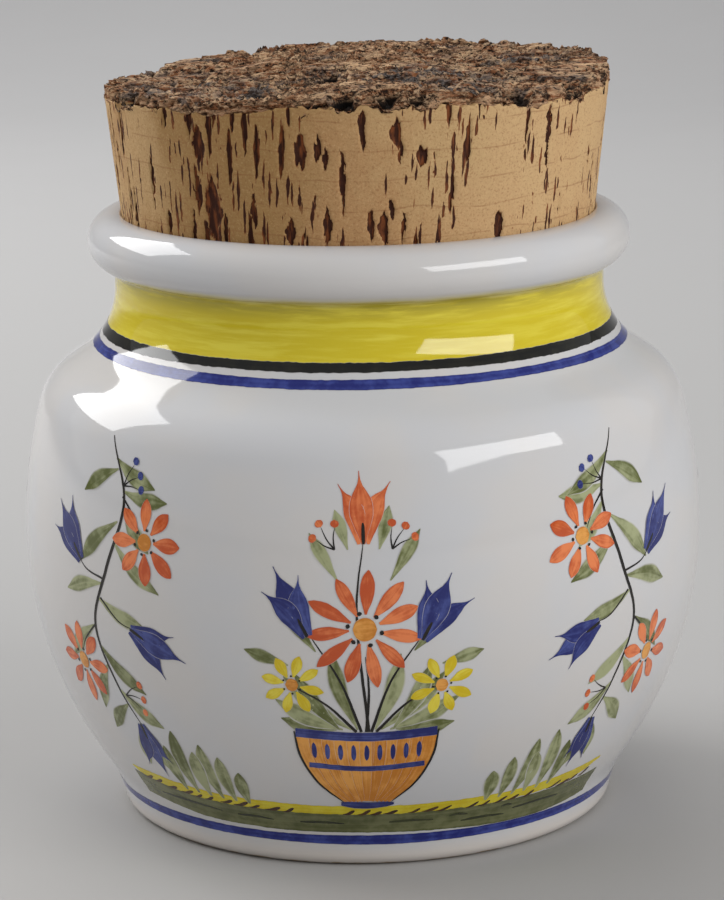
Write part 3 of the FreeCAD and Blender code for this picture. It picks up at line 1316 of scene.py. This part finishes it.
@dataclass
class Ground:
    """The strip of ground at the front: green under yellow, with dark ticks where the two meet."""

    wheel_radius: float
    # each row: degrees from the front, level of the middle, half the width
    green: tuple[Row, ...] = (
        (-54.2, 12.9, 2.8), (-44.0, 11.7, 2.7), (-36.0, 10.8, 2.6), (-18.0, 10.4, 2.5), (0.0, 10.3, 2.4),
        (18.0, 10.1, 2.6), (33.0, 9.9, 2.9), (45.0, 10.4, 2.9), (54.7, 11.3, 2.8),
    )
    yellow: tuple[Row, ...] = (
        (-53.6, 16.7, 0.2), (-50.0, 15.9, 0.9), (-36.0, 14.4, 1.2), (-18.0, 13.9, 1.1), (0.0, 13.7, 1.05),
        (18.0, 13.8, 1.1), (32.0, 14.1, 1.15), (45.0, 15.2, 1.2), (52.9, 17.2, 0.3),
    )
    # where ticks begin and end, in degrees from the front
    ticks: tuple[Place, ...] = ((-51.0, -16.0), (-5.0, 4.5), (8.0, 15.0), (20.0, 34.0), (39.0, 50.0))
    ticks_above_green: float = 2.5
    ticks_below_yellow: float = 1.1
    # each streak: degrees from the front, level of the middle, length
    streaks: tuple[Row, ...] = (
        (-40.0, 11.2, 20.0), (-24.0, 10.4, 10.0), (-9.5, 10.2, 11.25), (9.0, 10.4, 11.25), (19.0, 10.9, 5.0),
        (25.0, 9.2, 12.5), (38.0, 10.4, 15.0), (30.0, 11.3, 3.125),
    )

    def arc(self, degrees: float) -> float:
        """How far along the unrolled wall a direction is."""
        return math.radians(degrees) * self.wheel_radius

    def level(self, rows: tuple[Row, ...], degrees: float) -> float:
        """Finds a row's level at a direction, between its given places.

        Args:
            rows: The row.
            degrees: The direction, in degrees from the front.

        Returns:
            Height of the row's middle.
        """
        for (a, low, _), (b, high, _) in zip(rows, rows[1:]):
            if a <= degrees <= b:
                return low + (high - low) * (degrees - a) / (b - a)
        return rows[0][1] if degrees < rows[0][0] else rows[-1][1]

    def tick(self, painter: Painter, at: float, luck: random.Random) -> None:
        """Draws one tick.

        Args:
            painter: Who collects the strokes.
            at: Where it begins, in degrees from the front.
            luck: The unevenness of the hand.
        """
        above = self.level(self.green, at) + self.ticks_above_green
        z = (above + self.level(self.yellow, at) - self.ticks_below_yellow) / 2 + luck.uniform(-0.15, 0.15)
        x = self.arc(at)
        long = luck.uniform(2.8, 4.4)
        rise = luck.uniform(0.6, 1.2)
        slope = (self.level(self.yellow, at + 1) - self.level(self.yellow, at - 1)) / self.arc(2)
        turn = x + 0.45 * long, z + 0.45 * long * slope + 0.15 * rise
        line = (x, z), turn, (x + long, z + long * slope + rise)
        painter.stroke("ground_ticks", line, luck.uniform(0.6, 0.85), Brush.COMMA)

    def draw(self, painter: Painter) -> None:
        """Draws the ground.

        Args:
            painter: Who collects the strokes.
        """
        for layer, rows in (("ground_green", self.green), ("ground_yellow", self.yellow)):
            painter.keep(layer, [(self.arc(a), z) for a, z, _ in rows], [half for _, _, half in rows])
        luck = random.Random(11)
        for begin, end in self.ticks:
            at = begin
            while at < end:
                self.tick(painter, at, luck)
                at += luck.uniform(2.4, 3.9)
        for at, z, long in self.streaks:
            x = self.arc(at)
            lean = self.level(self.green, at + 4) - self.level(self.green, at - 4)
            line = (x - long / 2, z - lean / 2), (x, z + 0.25), (x + long / 2, z + lean / 2)
            painter.stroke("ground_streaks", line, 0.6, Brush.LINE)


@dataclass
class Garden:
    """The flowers: a bowl of them at the front, and vines that hang from the shoulder all round."""

    painter: Painter
    bowl_foot: float = 14.6
    vine_top: float = 87.0
    vines: tuple[float, ...] = (-46.0, 46.0, -103.0, 103.0, -154.0, 154.0)  # in degrees from the front
    grass_level: float = 14.5
    grass_from: float = 24.0  # in degrees from the front, at both sides
    seed: int = 20
    luck: random.Random = field(init=False)

    def __post_init__(self) -> None:
        """Seeds the unevenness of the hand."""
        self.luck = random.Random(self.seed)

    def ray(self, start: Place, heading: float, length: float, bow: float = 0.0) -> list[Place]:
        """Plans a line from a place in a direction.

        Args:
            start: Where it begins.
            heading: Its direction in degrees, 90 being up.
            length: Its length.
            bow: How much it is bowed to its left, as a share of its length.

        Returns:
            The line.
        """
        end = start[0] + length * cosine(heading), start[1] + length * sine(heading)
        side = bow * length
        middle = (
            (start[0] + end[0]) / 2 - side * sine(heading),
            (start[1] + end[1]) / 2 + side * cosine(heading),
        )
        return [start, middle, end]

    def petal(
        self, layer: str, start: Place, heading: float, length: float, width: float,
        brush: Brush = Brush.FLAME, bow: float = 0.0,
    ) -> None:
        """Draws one petal or leaf, a little different each time.

        Args:
            layer: The piece that it is part of.
            start: Where the brush lands.
            heading: Its direction in degrees, 90 being up.
            length: Its length.
            width: Its widest width.
            brush: Its outline.
            bow: How much it curves to its left.
        """
        heading += self.luck.uniform(-4, 4)
        length *= self.luck.uniform(0.93, 1.07)
        width *= self.luck.uniform(0.92, 1.08)
        self.painter.stroke(layer, self.ray(start, heading, length, bow), width, brush)

    def daisy(self, middle: Place, size: float, petals: int, layer: str) -> None:
        """Draws a round flower with an ochre heart, seen from the front.

        Args:
            middle: Its middle.
            size: From its middle to the tips.
            petals: How many petals it has.
            layer: The piece of its petals.
        """
        turn = self.luck.uniform(0, 360)
        for i in range(petals):
            heading = turn + 360 * i / petals
            start = middle[0] + 0.26 * size * cosine(heading), middle[1] + 0.26 * size * sine(heading)
            self.petal(layer, start, heading, 0.74 * size, size * 2.75 / petals, Brush.PETAL)
        heart = self.ray((middle[0] - 0.2 * size, middle[1]), 0, 0.4 * size)
        self.painter.stroke("ochre_strokes", heart, 0.42 * size, Brush.DAB)
        for i in range(6):
            angle = turn + 60 * i
            spot = middle[0] + 0.25 * size * cosine(angle), middle[1] + 0.25 * size * sine(angle)
            self.painter.stroke("dark_lines", self.ray(spot, angle, 0.075 * size), 0.085 * size, Brush.DAB)

    def tulip(self, base: Place, heading: float, length: float, layer: str) -> None:
        """Draws a closed flower of three flames on a short dark stalk.

        Args:
            base: Where its petals meet.
            heading: Its direction in degrees.
            length: Length of its middle petal.
            layer: The piece of its petals.
        """
        for side in (-1, 1):
            off = side * 0.06 * length
            start = base[0] - off * sine(heading), base[1] + off * cosine(heading)
            self.petal(layer, start, heading + side * 19, 0.84 * length, 0.30 * length, bow=-side * 0.10)
        self.petal(layer, base, heading, length, 0.34 * length)
        self.painter.stroke("dark_lines", self.ray(base, heading, 0.28 * length), 0.7, Brush.LINE)

    def leaf(self, base: Place, heading: float, length: float, width: float = 3.4, bow: float = 0.0) -> None:
        """Draws an olive leaf."""
        self.petal("leaves", base, heading, length, width, Brush.LEAF, bow)

    def berries(self, base: Place, heading: float, layer: str, count: int = 3) -> None:
        """Draws small round dabs at the ends of thin stalks.

        Args:
            base: Where the stalks meet.
            heading: Their middle direction in degrees.
            layer: The piece of the dabs.
            count: How many there are.
        """
        for i in range(count):
            angle = heading + (i - (count - 1) / 2) * 32
            line = self.ray(base, angle, self.luck.uniform(4.0, 5.2), 0.06)
            self.painter.stroke("stems", line, 0.32, Brush.TENDRIL)
            self.painter.stroke(layer, self.ray(line[-1], angle, 1.5), 1.7, Brush.DAB)

    def bowl(self, foot: float) -> None:
        """Draws a footed bowl, brushed in level strokes.

        Args:
            foot: Height of its lower edge.
        """
        for i in range(11):
            share = (i - 5) / 5
            line = [(share * x, foot + z) for x, z in ((13.2, 17.0), (12.4, 12.0), (9.4, 6.0), (4.6, 1.6))]
            self.painter.stroke("ochre_strokes", line, 3.1, Brush.REED)
        for z, half, width in ((9.9, 12.4, 1.2), (17.2, 14.6, 2.0)):
            line = [(-half, foot + z + 0.5), (0.0, foot + z - 0.3), (half, foot + z + 0.5)]
            self.painter.stroke("blue_strokes", line, width, Brush.BAND)
        for i in range(9):
            x = 2.75 * (i - 4)
            spot = x, foot + 11.5 + 0.004 * x * x
            self.painter.stroke("blue_strokes", self.ray(spot, 90, 3.6), 1.1, Brush.DAB)
        base = [(-6.2, foot + 0.9), (0.0, foot + 0.5), (6.2, foot + 0.9)]
        self.painter.stroke("blue_strokes", base, 1.7, Brush.LINE)
        for side in (-1, 1):
            line = [(side * x, foot + z) for x, z in ((14.9, 18.0), (14.0, 12.0), (10.8, 6.0), (5.6, 1.4))]
            self.painter.stroke("dark_lines", line, 0.5, Brush.LINE)

    def bouquet(self, foot: float) -> None:
        """Draws a bowl of flowers that stands on the ground at the front.

        Args:
            foot: Height of the bowl's lower edge.
        """
        self.bowl(foot)
        rim = foot + 18.0
        for heading, length, x in (
            (22, 15, 8), (40, 18, 5), (58, 15, 9), (75, 17, 3), (158, 15, -8),
            (140, 18, -5), (122, 15, -9), (105, 17, -3), (8, 12, 10), (172, 12, -10),
        ):
            self.leaf((x * 0.6, rim + 0.5), heading, length, 3.6, 0.05 if heading > 90 else -0.05)
        for x, z, heading, length in (
            (-9.5, 17, 128, 10), (9.5, 17, 52, 10), (-5, 31, 118, 11), (5, 31, 62, 11),
            (-15, 14, 165, 9), (15, 14, 15, 9), (-3, 37, 108, 8), (3, 37, 72, 8),
        ):
            self.leaf((x, rim + z), heading, length, 2.9)
        for line in (
            [(0, 0), (0.6, 9), (0, 16)], [(-1, 0), (-5, 11), (-11, 21)], [(1, 0), (5, 11), (11, 20)],
            [(-2, 0), (-8, 6), (-15, 10)], [(2, 0), (8, 6), (15, 10)], [(0.5, 0), (-1.5, 24), (0, 39)],
        ):
            self.painter.stroke("stems", [(x, rim + z) for x, z in line], 0.62, Brush.TENDRIL)
        self.tulip((-11, rim + 20), 116, 14, "blue_strokes")
        self.tulip((11, rim + 19), 62, 14, "blue_strokes")
        self.tulip((0, rim + 38), 91, 14.5, "orange_strokes")
        self.daisy((-14.5, rim + 10), 6.4, 8, "yellow_strokes")
        self.daisy((15, rim + 9.5), 6.4, 8, "yellow_strokes")
        self.daisy((0, rim + 21.5), 11.5, 11, "orange_strokes")
        self.berries((-5.5, rim + 37), 122, "orange_strokes")
        self.berries((5.5, rim + 37), 58, "orange_strokes")

    def vine(self, middle: float, top: float, hand: int) -> None:
        """Draws a leafy vine that hangs from the shoulder in a soft S.

        Args:
            middle: Where it hangs on the unrolled wall.
            top: Height of its upper end.
            hand: 1, or -1 for its mirror image.
        """
        def at(x: float, down: float) -> Place:
            """A place on the vine, mirrored for the other hand."""
            return middle + hand * x, top - down

        def turned(heading: float) -> float:
            """A direction, mirrored for the other hand."""
            return heading if hand > 0 else 180 - heading

        spine = [at(*p) for p in ((1, 0), (-4.5, 12), (0, 26), (4.5, 38), (1.0, 50), (-3, 58))]
        self.painter.stroke("stems", spine, 0.75, Brush.VINE)
        for x, down, heading, length in (
            (-1, 4, 205, 11), (-2, 6, 330, 10), (-4, 10, 185, 10), (-4.4, 13, 228, 9), (-3, 16, 318, 12),
            (-2, 20, 215, 12), (1.2, 29, 345, 11), (3, 32, 200, 11), (4.4, 38, 320, 11), (4.2, 42, 218, 12),
            (2.6, 46, 300, 10), (0.5, 51, 215, 10), (-1, 54, 320, 9), (-3, 58, 250, 9), (-3, 58, 282, 8),
        ):
            self.leaf(at(x, down), turned(heading), 1.2 * length, 3.7, 0.05 * hand)
        for line in (
            ((-4, 11), (-7, 14), (-9.5, 18)), ((1, 28), (6, 27), (9, 25)),
            ((2, 32), (-3, 36), (-7, 37)), ((4.5, 38), (9, 42), (11, 45)),
        ):
            self.painter.stroke("stems", [at(*p) for p in line], 0.45, Brush.TENDRIL)
        self.daisy(at(-10.5, 19), 8.6, 8, "orange_strokes")
        self.tulip(at(8, 25.5), turned(48), 14.5, "blue_strokes")
        self.tulip(at(-6, 37), turned(204), 13.5, "blue_strokes")
        self.daisy(at(11.5, 47), 8.6, 8, "orange_strokes")
        self.berries(at(-4, 9), turned(150), "blue_strokes")
        self.berries(at(-1, 52), turned(180), "orange_strokes")
        self.tulip(at(-3, 58), turned(262), 12.0, "blue_strokes")

    def tufts(self, middle: float, base: float, hand: int) -> None:
        """Draws grass at the side of the ground, lower towards the front.

        Args:
            middle: Where it starts on the unrolled wall.
            base: Height of the ground.
            hand: 1 to run to the right, -1 to the left.
        """
        for i, length in enumerate((7.5, 10.0, 12.5, 10.0, 14.0, 11.0)):
            heading = 90 - hand * (2 + 4 * (i % 3))
            place = middle + hand * 3.5 * i, base - 0.6 + 0.16 * i
            self.petal("leaves", place, heading, length, 4.0, Brush.PETAL, -0.04 * hand)

    def draw(self, ground: Ground) -> None:
        """Draws all of the garden.

        Args:
            ground: The ground that it stands on.
        """
        self.bouquet(self.bowl_foot)
        for degrees in self.vines:
            self.vine(ground.arc(degrees), self.vine_top, 1 if degrees > 0 else -1)
        for hand in (-1, 1):
            self.tufts(ground.arc(hand * self.grass_from), self.grass_level, hand)


# ---------------------------------------------------------------- the stopper


@dataclass
class Stopper:
    """The cork: a turned, tapered side, and a top of rough bark. Sizes are in millimetres."""

    show_from: float = 121.5  # the side is smooth below this, where the lip hides it
    bevel: float = 1.0
    pore_depth: float = 0.55
    grain_depth: float = 0.10
    rows_shown: int = 84
    columns: int = 760
    hidden_top: float = 140.0  # where the side's piece ends on the axis, under the bark
    bark_columns: int = 720
    bark_rings: int = 118
    bark_rows: int = 11
    bark_edge: float = 2.7  # thickness of the bark, seen from the side
    bark_raggedness: float = 0.6  # how much that thickness differs
    hollow_reach: float = 0.9  # how much further down the bark reaches at a hollow
    edge_at: float = 50.4  # radius at which the height of the solid's upper edge is read
    below_edge: float = 1.2  # how far below that edge its radius is read
    inset: float = 0.985  # the solid's top is read at this share of the radius
    rim_from: float = 0.965  # share of the radius at which the worn rim begins
    rim_bite: float = 1.1  # how deep the rim's broken places are
    closing: float = 3.0  # how far in a hidden end runs before it is closed
    side_sink: float = 0.2  # how far down the side's hidden end runs meanwhile
    bark_sink: float = 0.4  # and the bark's
    plates: float = 4.0  # how many layers of plates there are
    plate_depth: float = 2.4  # from the highest plate to the lowest
    ridge_height: float = 1.2
    lump_height: float = 1.2
    crumb_height: float = 0.8
    crack_depth: float = 2.6
    crest: float = 2.1  # what the bark's highest places would be below the solid's
    great_crack: Oval = (1.0, -14.0, 6.0, 2.2)

    @property
    def bottom(self) -> float:
        """Height of the stopper's lower face."""
        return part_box(STOPPER_NODE)[0].z / MM

    def bark_underside(self, g: Shape, around: Value) -> Value:
        """Finds how far the bark reaches down from the top's edge.

        Args:
            g: The tree that asks.
            around: The direction from the axis.

        Returns:
            The reach in millimetres.
        """
        rough = g.noise(around * 12.0, 1.0, 4.0, 0.7)
        least, most = self.bark_edge - self.bark_raggedness, self.bark_edge + self.bark_raggedness
        reach = g.ramp(rough, 0.3, 0.7, least, most)
        for shape in BarkFace.hollows:
            reach = reach + g.oval(around * CORK_RADIUS, shape) * self.hollow_reach
        return reach

    def edge_level(self, g: Shape, stopper: Value, around: Value) -> Value:
        """Finds the height of the solid's upper edge.

        Args:
            g: The tree that asks.
            stopper: The solid.
            around: The direction from the axis.

        Returns:
            The height in millimetres.
        """
        above = around * (self.edge_at * MM) + (0.0, 0.0, CLEAR)
        hit, _ = g.found(stopper, above, (0.0, 0.0, -1.0))
        return g.parts(hit)[2] / MM

    def side_radius(self, g: Shape, stopper: Value, around: Value, level: Value) -> Value:
        """Finds the radius of the solid's side.

        Args:
            g: The tree that asks.
            stopper: The solid.
            around: The direction from the axis.
            level: The height in millimetres.

        Returns:
            The radius in millimetres.
        """
        beside = g.polar(around, CLEAR / 2, level * MM)
        hit, _ = g.found(stopper, beside, around * -1.0)
        return g.vector("LENGTH", hit * (1.0, 1.0, 0.0)) / MM

    def side_shape(self) -> Shape:
        """Makes a tree for the cork's side: upright rows between the lower edge and the bark.

        Returns:
            The tree.
        """
        g = Shape("cork_side", Stopper="Object", Columns="Int", Material="Material")
        stopper = g.geometry_of("Stopper")
        # rows 0 to 2 close the lower face, 3 is the bevel's top, the next are the side, and two close the top
        net, around, row = g.turned_net(g.given("Columns"), self.rows_shown + 6)
        top = self.edge_level(g, stopper, around) - self.bark_underside(g, around)
        share = g.clamped((row - 4.0) / (self.rows_shown - 1))
        low = row < 3.5
        level = share * (top - self.show_from) + self.show_from
        level = low * (self.bottom + self.bevel) + (1.0 - low) * level
        radius = self.side_radius(g, stopper, around, level)
        place = g.polar(around, radius, level)
        grain = g.ramp(g.noise(place, 1.1, 3.0, 0.6), 0.3, 0.7, 0.0, self.grain_depth)
        sunk = pores(g, place)[1] * self.pore_depth + grain
        radius = radius - sunk * g.ramp(level, self.show_from, self.show_from + 2)
        flat = row < 2.5
        radius = flat * (row / 2.0 * (radius - self.bevel)) + (1.0 - flat) * radius
        level = level - flat * self.bevel
        closing = row > self.rows_shown + 3.5
        last = row > self.rows_shown + 4.5
        radius = (radius - closing * self.closing) * (1.0 - last)
        level = level - closing * self.side_sink
        level = level + last * (self.hidden_top - level)
        g.end(net, g.polar(around, radius, level) * MM)
        return g

    def bark_shape(self) -> Shape:
        """Makes a tree for the bark: a disc of rings, broken into plates, with a crumbled rim.

        Returns:
            The tree.
        """
        g = Shape("bark_top", Stopper="Object", Columns="Int", Material="Material")
        stopper = g.geometry_of("Stopper")
        rings, rows = self.bark_rings, self.bark_rows
        # the rings run out to the edge, the rows run down it, and two more close the underside
        net, around, row = g.turned_net(g.given("Columns"), rings + rows + 2)
        level = self.edge_level(g, stopper, around) - self.below_edge
        share = g.maths("MINIMUM", row / (rings - 1), 1.0)
        radius = self.side_radius(g, stopper, around, level) * share
        above = around * (radius * (self.inset * MM)) + (0.0, 0.0, CLEAR)
        hit, _ = g.found(stopper, above, (0.0, 0.0, -1.0))
        drop = g.clamped((row - (rings - 1)) / rows)
        level = g.parts(hit)[2] / MM - drop * self.bark_underside(g, around)
        place = g.polar(around, radius, level)
        depth, broken = self.bark_relief(g, place)
        depth = depth * (1.0 - drop)
        worn = g.ramp(g.noise(place * (0.35, 0.35, 1.5), 0.9, 4.0, 0.7), 0.36, 0.66)
        worn = worn + g.ramp(g.noise(place, 0.42), 0.46, 0.34, 0.0, self.rim_bite)
        shut = row > rings + rows - 0.5
        last = row > rings + rows + 0.5
        radius = radius - worn * g.ramp(share, self.rim_from, 1.0) - shut * self.closing
        level = level - depth - shut * self.bark_sink
        net = g.held(net, "depth", depth + drop * worn)
        net = g.held(net, "rim", g.ramp(drop, 0.0, 0.25))
        net = g.held(net, "broken", broken)
        g.end(net, g.polar(around, radius * (1.0 - last), level) * MM, flipped=True)
        return g

    def bark_relief(self, g: Graph, place: Value) -> tuple[Value, Value]:
        """Finds how the bark's surface lies below the solid's.

        Args:
            g: The tree that asks.
            place: The place in millimetres.

        Returns:
            The depth in millimetres, never below 0, and how much of a plate's broken edge the place is.
        """
        x, y, _ = g.parts(place)
        flat = g.joined(x * 0.42, y, 0.0)
        bend = g.drift(flat, 0.16, 3.0)
        warped = flat + bend * 7.0
        # plates: the hills are cut into steps whose edges are broken
        stepped = g.ramp(g.noise(warped, 0.075, 3.0, 0.55), 0.26, 0.74) * self.plates
        whole = g.maths("FLOOR", stepped)
        share = stepped - whole
        hills = (whole + g.ramp(share, 0.80, 0.97)) / self.plates
        broken = g.ramp(share, 0.70, 0.80) * g.ramp(share, 1.0, 0.96)
        # ridges that run along the grain
        folds = g.maths("ABSOLUTE", g.noise(warped, 0.20, 3.0, 0.6) - 0.5)
        ridge = g.ramp(folds, 0.085, 0.01) * g.ramp(g.noise(flat, 0.09), 0.40, 0.54)
        # cracks, of which the greatest have places of their own
        inputs = {"Vector": warped, "Scale": 0.085}
        gaps = g.read("ShaderNodeTexVoronoi", inputs, "Distance", feature="DISTANCE_TO_EDGE")
        crack = g.ramp(gaps, 0.09, 0.02) * g.ramp(g.noise(flat, 0.13), 0.50, 0.64)
        shaken = place + bend * 9.0
        great = (*BarkFace.hollows, self.great_crack)
        crack = g.highest(crack, *(g.oval(shaken, shape) for shape in great))
        crumb = g.noise(place * (0.6, 1.0, 1.3), 0.95, 4.0, 0.72)
        lumps = g.noise(place * (0.7, 1.0, 1.3), 0.42, 3.0, 0.6)
        depth = (1.0 - hills) * self.plate_depth + g.ramp(lumps, 0.60, 0.34, 0.0, self.lump_height)
        depth = depth + (1.0 - ridge) * self.ridge_height + crack * self.crack_depth
        depth = depth + g.ramp(crumb, 0.66, 0.34, 0.0, self.crumb_height)
        return g.highest(depth - self.crest, 0.0), g.highest(broken, ridge * 0.8)

    def build(self) -> None:
        """Makes the cork's side and its bark."""
        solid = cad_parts[STOPPER_NODE]
        for name, shape, columns, face in (
            ("cork_side", self.side_shape(), self.columns, CorkFace()),
            ("cork_bark", self.bark_shape(), self.bark_columns, BarkFace()),
        ):
            piece = grown_piece(name, shape, Stopper=solid, Columns=columns, Material=face.material())
            fitted(piece, CORK_SLOT, STOPPER_NODE)


# ---------------------------------------------------------------- the studio


@dataclass(frozen=True)
class SoftBox:
    """A soft box that faces the jar."""

    name: str
    azimuth: float  # its direction from the jar, in degrees from the front, positive to the right
    rise: float  # its height angle in degrees
    distance: float  # from the place that it faces, in metres
    size: Place  # its width and height in metres
    watts: float
    mirrored: bool = True  # whether the glaze mirrors it

    def build(self, aim: Vector) -> None:
        """Puts the soft box in the scene.

        Args:
            aim: The place that it faces, in metres.
        """
        lamp = bpy.data.lights.new(self.name, "AREA")
        lamp.shape = "RECTANGLE"
        lamp.size, lamp.size_y = self.size
        lamp.energy = self.watts
        level = cosine(self.rise)
        out = Vector((sine(self.azimuth) * level, -cosine(self.azimuth) * level, sine(self.rise)))
        holder = shown(self.name, lamp)
        holder.location = aim + out * self.distance
        holder.rotation_euler = out.to_track_quat("Z", "Y").to_euler()
        holder.visible_glossy = self.mirrored


@dataclass
class Studio:
    """A sheet of paper swept up behind the jar, soft boxes, a plain world and the camera, in metres."""

    sweep_start: float = 1.1
    sweep_curve: float = 1.2
    sweep_parts: int = 24
    paper_top: float = 4.0
    half_width: float = 3.0
    front: float = -2.5
    aim: Row = (0.0, 0.0, 0.075)
    lamps: tuple[SoftBox, ...] = (
        SoftBox("left_box", -119, 34, 1.2, (0.83, 0.60), 8.8),
        SoftBox("right_box", 51, 23.5, 1.2, (0.95, 0.40), 7.1),
        SoftBox("back_fill", -160, 50, 1.4, (1.2, 1.2), 9, mirrored=False),
        SoftBox("right_fill", 80, 25, 1.4, (1.0, 0.8), 3.0, mirrored=False),
        SoftBox("left_fill", -75, 25, 1.4, (1.0, 0.8), 2.4, mirrored=False),
    )
    world_colour: Colour = (0.98, 0.99, 1.0, 1.0)
    world_strength: float = 0.43
    camera_place: Row = (0.0, -0.700, 0.234)
    camera_tilt: float = 77.04
    camera_roll: float = -0.911
    focal_length: float = 138.48
    sensor_width: float = 36.0

    def paper(self) -> None:
        """Makes the swept sheet."""
        section = [(self.front, 0.0), (self.sweep_start, 0.0)]
        for i in range(1, self.sweep_parts + 1):
            angle = 90 * i / self.sweep_parts
            back = self.sweep_start + self.sweep_curve * sine(angle)
            section.append((back, self.sweep_curve * (1 - cosine(angle))))
        section.append((self.sweep_start + self.sweep_curve, self.paper_top))
        corners = [(x, y, z) for y, z in section for x in (-self.half_width, self.half_width)]
        faces = [(2 * i, 2 * i + 1, 2 * i + 3, 2 * i + 2) for i in range(len(section) - 1)]
        mesh = bpy.data.meshes.new("paper")
        mesh.from_pydata(corners, [], faces)
        mesh.shade_smooth()
        mesh.materials.append(StudioPaper().material())
        shown("paper", mesh)

    def light(self) -> None:
        """Sets the lamps and the world."""
        for lamp in self.lamps:
            lamp.build(Vector(self.aim))
        world = bpy.data.worlds.new("studio_fill")
        world.use_nodes = True
        fill = world.node_tree.nodes["Background"]
        fill.inputs["Color"].default_value = self.world_colour
        fill.inputs["Strength"].default_value = self.world_strength
        bpy.context.scene.world = world

    def camera(self) -> None:
        """Sets the camera."""
        lens = bpy.data.cameras.new("camera")
        lens.lens = self.focal_length
        lens.sensor_width = self.sensor_width
        holder = shown("camera", lens)
        holder.location = self.camera_place
        tilt = Euler((math.radians(self.camera_tilt), 0.0, 0.0)).to_matrix()
        roll = Euler((0.0, 0.0, math.radians(self.camera_roll))).to_matrix()
        holder.rotation_euler = (tilt @ roll).to_euler()
        bpy.context.scene.camera = holder

    def build(self) -> None:
        """Sets up the paper, the lamps and the camera."""
        self.paper()
        self.light()
        self.camera()
        bpy.context.scene.view_settings.view_transform = "Standard"


# ---------------------------------------------------------------- all together


def main() -> None:
    """Builds the jar, its painting, the stopper and the studio."""
    logging.basicConfig(level=logging.INFO, format="%(name)s: %(message)s")
    Studio().build()
    jar = JarWall()
    wall = jar.build(turned_shape())
    painter = Painter(jar.belly_radius)
    ground = Ground(jar.belly_radius)
    Rings().draw(painter)
    ground.draw(painter)
    Garden(painter).draw(ground)
    strokes = stroke_shape()
    for layer in LAYERS:
        painter.lay(layer, wall, strokes)
    Stopper().build()


if __name__ == "__main__":
    main()
